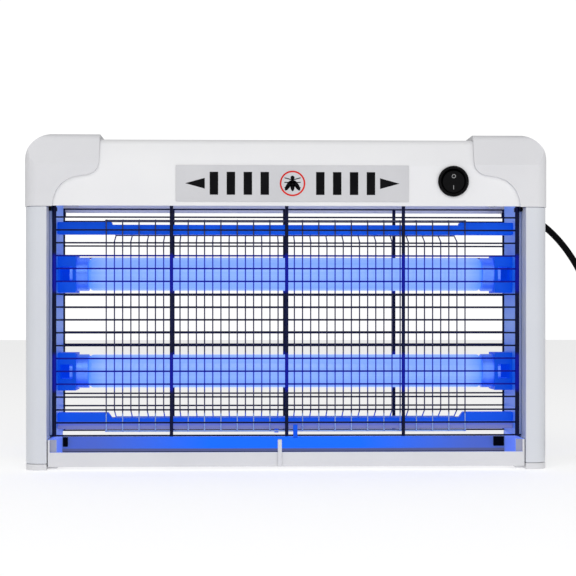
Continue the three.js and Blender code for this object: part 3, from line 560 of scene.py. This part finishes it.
def addTube(level):
    low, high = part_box("uv_tube_" + level)
    middle = (low + high) / 2
    half = high.x
    bm = bmesh.new()
    radius, shoulder = tubeShape["radius"] * mm, tubeShape["shoulder"] * mm
    profile = [(-half, 0), (-half, tubeShape["neck"] * mm)]
    for step in range(tubeShape["shoulderSteps"] + 1):
        angle = pi / 2 * step / tubeShape["shoulderSteps"]
        profile.append((-half + shoulder * (1 - cos(angle)), radius - shoulder * (1 - sin(angle))))
    profile += [(-x, r) for x, r in reversed(profile)]
    rim = [bm.verts.new((x, 0, r)) for x, r in profile]
    edges = [bm.edges.new(pair) for pair in zip(rim, rim[1:])]
    bmesh.ops.spin(bm, geom=rim + edges, cent=(0, 0, 0), axis=(1, 0, 0), angle=2 * pi,
                   steps=tubeShape["sides"], use_merge=True)
    bmesh.ops.remove_doubles(bm, verts=bm.verts, dist=weldGap)
    bmesh.ops.translate(bm, verts=bm.verts, vec=(0, middle.y, middle.z))
    mesh = meshFrom(bm, "litTube_" + level)
    placePiece("litTube_" + level, mesh, "litPhosphor", level + "_tube", ["uv_tube_" + level],
               60)


for level in ("upper", "lower"):
    addTube(level)
print("tubes made")

# guards: round welded wire, the uprights outside the cross wires
guardWire = {"cross": 0.62, "upright": 1.3, "edgeUpright": 1.6, "pitch": 9.65, "count": 19,
             "innerUprights": (-86.5, 0, 88), "edgeInset": 3.2, "weldSink": 0.4, "sides": 12,
             "eyeWidth": 3.5, "eyeInset": 0.4, "eyeDrop": (6, 3), "eyeLap": 0.4}


def addGuard(name, outward):
    low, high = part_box(name)
    frontPlane = low.y if outward < 0 else high.y
    upright = guardWire["upright"] * mm
    edge = guardWire["edgeUpright"] * mm
    cross = guardWire["cross"] * mm
    uprightY = frontPlane - outward * upright
    crossY = uprightY - outward * (upright + cross * guardWire["weldSink"])
    bottom = low.z + cross
    reach = high.x
    edgeX = reach - guardWire["edgeInset"] * mm
    bm = bmesh.new()
    for index in range(guardWire["count"]):
        z = bottom + index * guardWire["pitch"] * mm
        half = reach if index in (0, guardWire["count"] - 1) else edgeX + upright
        addRod(bm, (-half, crossY, z), (half, crossY, z), cross, guardWire["sides"])
    places = [(-edgeX, edge), (edgeX, edge)]
    places += [(x * mm * -outward, upright) for x in guardWire["innerUprights"]]
    for x, radius in places:
        y = frontPlane - outward * radius
        addRod(bm, (x, y, low.z), (x, y, high.z), radius, guardWire["sides"])
    halfEye, lap = guardWire["eyeWidth"] / 2 * mm, guardWire["eyeLap"] * mm
    eyeLow, eyeHigh = (high.z - drop * mm for drop in guardWire["eyeDrop"])
    for side in (-1, 1):
        middle = side * (edgeX - guardWire["eyeInset"] * mm)
        addBlock(bm, (middle - halfEye, min(uprightY, crossY) - lap, eyeLow),
                 (middle + halfEye, max(uprightY, crossY) + lap, eyeHigh))
    placePiece(name + "_wires", meshFrom(bm, name + "_wires"), "coatedWire", name, [name])


addGuard("front_guard", -1)
addGuard("rear_guard", 1)
print("guards made")

# high-voltage grid: live wires hook round the bars, return wires bend back to their rails
gridWire = {"radius": 0.5, "pitch": 6.2, "count": 45, "hook": 4.0, "sides": 8,
            "bendTop": 170.8, "bendBottom": 42.8, "knee": 1.04, "turnInset": 0.6, "turnDrop": 0.4,
            "stripInset": 1, "stripFront": 1, "stripBelow": 0.7, "stripAbove": 0.4,
            "railInset": 1, "railRise": 2, "railFront": 0.5, "railBack": 0.9, "railHalf": 1.9}
grid = {name: value * mm for name, value in gridWire.items() if name not in ("count", "sides", "knee")}
wireFromMiddle = (gridWire["count"] - 1) / 2  # in wire spacings


def addWirePath(bm, points, radius):
    for start, end in zip(points, points[1:]):
        addRod(bm, start, end, radius, gridWire["sides"])
    for knee in points[1:-1]:
        bmesh.ops.create_icosphere(bm, subdivisions=1, radius=radius * gridWire["knee"],
                                   matrix=Matrix.Translation(knee))


def wirePlaces(first):
    return [(index - wireFromMiddle) * grid["pitch"] for index in range(first, gridWire["count"], 2)]


def addLiveGrid():
    low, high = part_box("hv_grid_live")
    front = low.y + grid["radius"]
    back = front + grid["hook"]
    top, bottom = high.z - grid["turnInset"], low.z + grid["turnInset"]
    bm = bmesh.new()
    for x in wirePlaces(0):
        addWirePath(bm, [(x, back, top), (x, front, top - grid["turnDrop"]),
                         (x, front, bottom + grid["turnDrop"]), (x, back, bottom)], grid["radius"])
    for z in (high.z - grid["stripInset"], low.z + grid["stripInset"]):
        addBlock(bm, (low.x, front + grid["stripFront"], z - grid["stripBelow"]),
                 (high.x, back, z + grid["stripAbove"]))
    placePiece("liveWires", meshFrom(bm, "liveWires"), "drawnWire", "case", ["hv_grid_live"])


def addReturnGrid():
    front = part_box("hv_grid_live")[0].y + grid["radius"]
    rails = {end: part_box("return_rail_" + end) for end in ("upper", "lower")}
    railHeight = {"upper": rails["upper"][1].z - grid["railRise"],
                  "lower": rails["lower"][0].z + grid["railRise"]}
    railBack = {end: box[1].y - grid["railInset"] for end, box in rails.items()}
    bm = bmesh.new()
    for x in wirePlaces(1):
        addWirePath(bm, [
            (x, railBack["upper"], railHeight["upper"]), (x, front, grid["bendTop"]),
            (x, front, grid["bendBottom"]), (x, railBack["lower"], railHeight["lower"]),
        ], grid["radius"])
    for end, (low, high) in rails.items():
        y, z = railBack[end], railHeight[end]
        addBlock(bm, (low.x, y - grid["railFront"], z - grid["railHalf"]),
                 (high.x, y + grid["railBack"], z + grid["railHalf"]))
    nodes = ["hv_grid_return", "return_rail_upper", "return_rail_lower"]
    placePiece("returnWires", meshFrom(bm, "returnWires"), "drawnWire", "case", nodes)


addLiveGrid()
addReturnGrid()
print("grid made")


# collection tray: white outside, painted blue light inside, painted shade on the front cheeks
trayLook = {"wall": 1.6, "cheekFrom": 13.5, "cheekFront": 0.6, "cheekBack": 4.5, "edge": 0.4}


def addTray():
    low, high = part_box("collection_tray")
    halfWall = trayLook["wall"] / 2 * mm
    mesh = meshFrom(copyOfNode("collection_tray"), "trayFinished")
    for finish in ("whiteMoulding", "tubeLitTray", "shadedMoulding"):
        mesh.materials.append(finishes[finish])
    for face in mesh.polygons:
        centre, normal = face.center, face.normal
        within = (low.x + halfWall < centre.x < high.x - halfWall
                  and low.y + halfWall < centre.y < high.y - halfWall)
        inside = centre.z > low.z + halfWall and normal.y > -0.5
        backWall = normal.y < -0.5 and centre.y > 0
        if within and (inside or backWall):
            face.material_index = 1
        # the upper front cheeks take painted shade
        fromFront = (centre.y - low.y) / mm
        atCheek = trayLook["cheekFront"] < fromFront < trayLook["cheekBack"]
        if atCheek and centre.z > trayLook["cheekFrom"] * mm:
            face.material_index = 2
    tray = placePiece("trayFinished", mesh, "whiteMoulding", "tray", ["collection_tray"])
    softenEdges(tray, trayLook["edge"] * mm, 3)


addTray()

# black blocks in the tray's rear corners
trayCornerBlocks = {"places": ((-175.4, -171.5), (167, 175.4)), "low": 10.7, "high": 18.3, "backInset": 2,
             "depth": 3, "edge": 0.5}


def addTrayCornerBlocks():
    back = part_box("collection_tray")[1].y - trayCornerBlocks["backInset"] * mm
    bm = bmesh.new()
    for start, end in trayCornerBlocks["places"]:
        addBlock(bm, (start * mm, back - trayCornerBlocks["depth"] * mm, trayCornerBlocks["low"] * mm),
                 (end * mm, back, trayCornerBlocks["high"] * mm))
    cornerBlocks = placePiece("trayCornerBlocks", meshFrom(bm, "trayCornerBlocks"), "blackMoulding", "tray", ())
    softenEdges(cornerBlocks, trayCornerBlocks["edge"] * mm)


addTrayCornerBlocks()
print("tray made")

# label: grey plate with two arrows, two striped panels and a small insect sign
labelArt = {"rise": 0.06, "arrowLength": 14.5, "arrowHeight": 8, "arrowEdge": 7, "panelWidth": 44,
            "panelHeight": 17, "panelGap": 17.5, "stripes": 4, "ring": 9.5, "ringWidth": 1.2,
            "sink": 0.05, "legWidth": 0.7, "legReach": 6}
# width, height, place across, place up, turn: body, head and two wings
insectParts = ((1.7, 4.6, 0, -1.2, 0), (1.5, 1.5, 0, 4.3, 0), (1.6, 4.4, -3.1, -1.5, -0.55),
               (1.6, 4.4, 3.1, -1.5, 0.55))
insectLegs = ((2.6, 4.2), (0.6, 0.8), (-1.4, -3.2))  # height at the body, height at the foot


# The newer half of a face region that was just extruded.
def grownVerts(grown):
    return [vert for vert in grown["geom"] if isinstance(vert, bmesh.types.BMVert)]


def addFlatShape(bm, outline, y, depth):
    verts = [bm.verts.new((x, y, z)) for x, z in outline]
    face = bm.faces.new(verts)
    grown = bmesh.ops.extrude_face_region(bm, geom=[face])
    bmesh.ops.translate(bm, vec=(0, depth, 0), verts=grownVerts(grown))


def oval(x, z, wide, tall, turn=0.0, count=20):
    points = []
    for index in range(count):
        angle = 2 * pi * index / count
        u, v = wide * cos(angle), tall * sin(angle)
        points.append((x + u * cos(turn) - v * sin(turn), z + u * sin(turn) + v * cos(turn)))
    return points


def bar(x0, z0, x1, z1, width):
    along = Vector((x1 - x0, z1 - z0)).normalized()
    side = Vector((-along.y, along.x)) * width / 2
    return [(x0 + side.x, z0 + side.y), (x0 - side.x, z0 - side.y),
            (x1 - side.x, z1 - side.y), (x1 + side.x, z1 + side.y)]


def addLabel():
    low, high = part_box("label_plate")
    finishNode("label_plate", "greyFilm", 0.12, 2)
    middleX, middleZ = (low.x + high.x) / 2, (low.z + high.z) / 2
    y, depth = low.y + labelArt["sink"] * mm, -(labelArt["rise"] + labelArt["sink"]) * mm
    bm = bmesh.new()
    halfWidth = (high.x - low.x) / 2
    for side in (-1, 1):
        tip = middleX + side * (halfWidth - labelArt["arrowEdge"] * mm)
        back = tip - side * labelArt["arrowLength"] * mm
        rise = labelArt["arrowHeight"] / 2 * mm
        addFlatShape(bm, [(tip, middleZ), (back, middleZ + rise), (back, middleZ - rise)], y, depth)
        inner = middleX + side * labelArt["panelGap"] * mm
        stripe = labelArt["panelWidth"] / (2 * labelArt["stripes"] - 1) * mm
        for index in range(labelArt["stripes"]):
            start = inner + side * index * 2 * stripe
            end = start + side * stripe
            tall = labelArt["panelHeight"] / 2 * mm
            addFlatShape(bm, [(start, middleZ - tall), (end, middleZ - tall), (end, middleZ + tall),
                              (start, middleZ + tall)], y, depth)
    for wide, tall, x, z, turn in insectParts:
        addFlatShape(bm, oval(middleX + x * mm, middleZ + z * mm, wide * mm, tall * mm, turn), y, depth)
    for side in (-1, 1):
        for hip, foot in insectLegs:
            addFlatShape(bm, bar(middleX, middleZ + hip * mm, middleX + side * labelArt["legReach"] * mm,
                                 middleZ + foot * mm, labelArt["legWidth"] * mm), y, depth)
    placePiece("labelPrint", meshFrom(bm, "labelPrint"), "blackInk", "case", ())
    ring = bmesh.new()
    outside, within = labelArt["ring"] * mm, (labelArt["ring"] - labelArt["ringWidth"]) * mm
    outer = oval(middleX, middleZ, outside, outside, 0, 48)
    inner = oval(middleX, middleZ, within, within, 0, 48)
    loops = []
    for outline in (outer, inner):
        verts = [ring.verts.new((x, y, z)) for x, z in outline]
        loops += [ring.edges.new((verts[i], verts[(i + 1) % len(verts)])) for i in range(len(verts))]
    faces = bmesh.ops.bridge_loops(ring, edges=loops)["faces"]
    grown = bmesh.ops.extrude_face_region(ring, geom=faces)
    bmesh.ops.translate(ring, vec=(0, depth * 1.5, 0), verts=grownVerts(grown))
    placePiece("labelRing", meshFrom(ring, "labelRing"), "redInk", "case", ())


addLabel()
print("label made")

# marks on the rocker: a ring above, a bar below
rockerMarks = {"pivot": (123.9, -42.0, 214.7), "tilt": 8, "rise": 2.9, "ringRadius": 1.5, "line": 0.42,
               "offset": 4.2, "halfBar": 1.5, "ringDepth": 0.12, "barStand": 0.1, "barSink": 0.04}


def addRockerMarks():
    bm = bmesh.new()
    lift = -rockerMarks["rise"] * mm
    ringPlace = Matrix.Translation((0, 0, rockerMarks["offset"] * mm)) @ Matrix.Rotation(radians(90), 4, "X")
    outside = rockerMarks["ringRadius"] * mm
    for radius in (outside, outside - rockerMarks["line"] * mm):
        bmesh.ops.create_circle(bm, segments=28, radius=radius, matrix=ringPlace)
    bmesh.ops.bridge_loops(bm, edges=bm.edges)
    upper = list(bm.faces)
    grown = bmesh.ops.extrude_face_region(bm, geom=upper)
    bmesh.ops.translate(bm, vec=(0, -rockerMarks["ringDepth"] * mm, 0), verts=grownVerts(grown))
    lean = radians(rockerMarks["tilt"])
    bmesh.ops.rotate(bm, cent=(0, 0, 0), matrix=Matrix.Rotation(lean, 3, "X"), verts=bm.verts)
    halfLine, half = rockerMarks["line"] / 2 * mm, rockerMarks["halfBar"]
    block = addBlock(bm, (-halfLine, -rockerMarks["barStand"] * mm, -(rockerMarks["offset"] + half) * mm),
                     (halfLine, rockerMarks["barSink"] * mm, -(rockerMarks["offset"] - half) * mm))
    bmesh.ops.rotate(bm, cent=(0, 0, 0), matrix=Matrix.Rotation(-lean, 3, "X"), verts=block)
    bmesh.ops.translate(bm, vec=(0, lift, 0), verts=bm.verts)
    bmesh.ops.rotate(bm, cent=(0, 0, 0), matrix=Matrix.Rotation(lean, 3, "X"), verts=bm.verts)
    bmesh.ops.translate(bm, vec=Vector(rockerMarks["pivot"]) * mm, verts=bm.verts)
    placePiece("rockerMarks", meshFrom(bm, "rockerMarks"), "greyInk", "rocker", ())


addRockerMarks()
print("rocker marked")

# studio: pale floor, white surroundings, soft lamps
studio = {"backdrop": 1.05, "softLight": 0.46, "floorShade": (0.88, 0.88, 0.88), "floorGlow": 0.42,
          "floorSize": 6, "aim": (0, 0, 0.12)}
lamps = [
    {"name": "keyLamp", "place": (-0.4, -1.75, 1.5), "size": 1.5, "power": 11.3},
    {"name": "fillLamp", "place": (0.9, -1.8, 0.6), "size": 1.5, "power": 5},
]


def addStudio():
    world = bpy.data.worlds.new("studioWorld")
    world.use_nodes = True
    tree = world.node_tree
    backdrop = tree.nodes["Background"]
    backdrop.inputs["Color"].default_value = (1, 1, 1, 1)
    backdrop.inputs["Strength"].default_value = studio["backdrop"]
    softLight = tree.nodes.new("ShaderNodeBackground")
    softLight.inputs["Color"].default_value = (1, 1, 1, 1)
    softLight.inputs["Strength"].default_value = studio["softLight"]
    path = tree.nodes.new("ShaderNodeLightPath")
    blend = tree.nodes.new("ShaderNodeMixShader")
    tree.links.new(path.outputs["Is Camera Ray"], blend.inputs["Fac"])
    tree.links.new(softLight.outputs["Background"], blend.inputs[1])
    tree.links.new(backdrop.outputs["Background"], blend.inputs[2])
    tree.links.new(blend.outputs["Shader"], tree.nodes["World Output"].inputs["Surface"])
    bpy.context.scene.world = world
    bm = bmesh.new()
    bmesh.ops.create_grid(bm, x_segments=1, y_segments=1, size=studio["floorSize"])
    mesh = bpy.data.meshes.new("studioFloor")
    bm.to_mesh(mesh)
    bm.free()
    finish, _, shader, _ = startFinish("paleFloor")
    shader.inputs["Emission Color"].default_value = (1, 1, 1, 1)
    shader.inputs["Emission Strength"].default_value = studio["floorGlow"]
    shader.inputs["Base Color"].default_value = (*studio["floorShade"], 1)
    shader.inputs["Roughness"].default_value = 0.8
    mesh.materials.append(finish)
    floor = bpy.data.objects.new("studioFloor", mesh)
    bpy.context.scene.collection.objects.link(floor)
    for lamp in lamps:
        data = bpy.data.lights.new(lamp["name"], "AREA")
        data.size = lamp["size"]
        data.energy = lamp["power"]
        light = bpy.data.objects.new(lamp["name"], data)
        light.location = lamp["place"]
        aim = Vector(studio["aim"]) - Vector(lamp["place"])
        light.rotation_euler = aim.to_track_quat("-Z", "Y").to_euler()
        bpy.context.scene.collection.objects.link(light)
    bpy.context.scene.view_settings.view_transform = "Standard"


addStudio()
print("studio set")
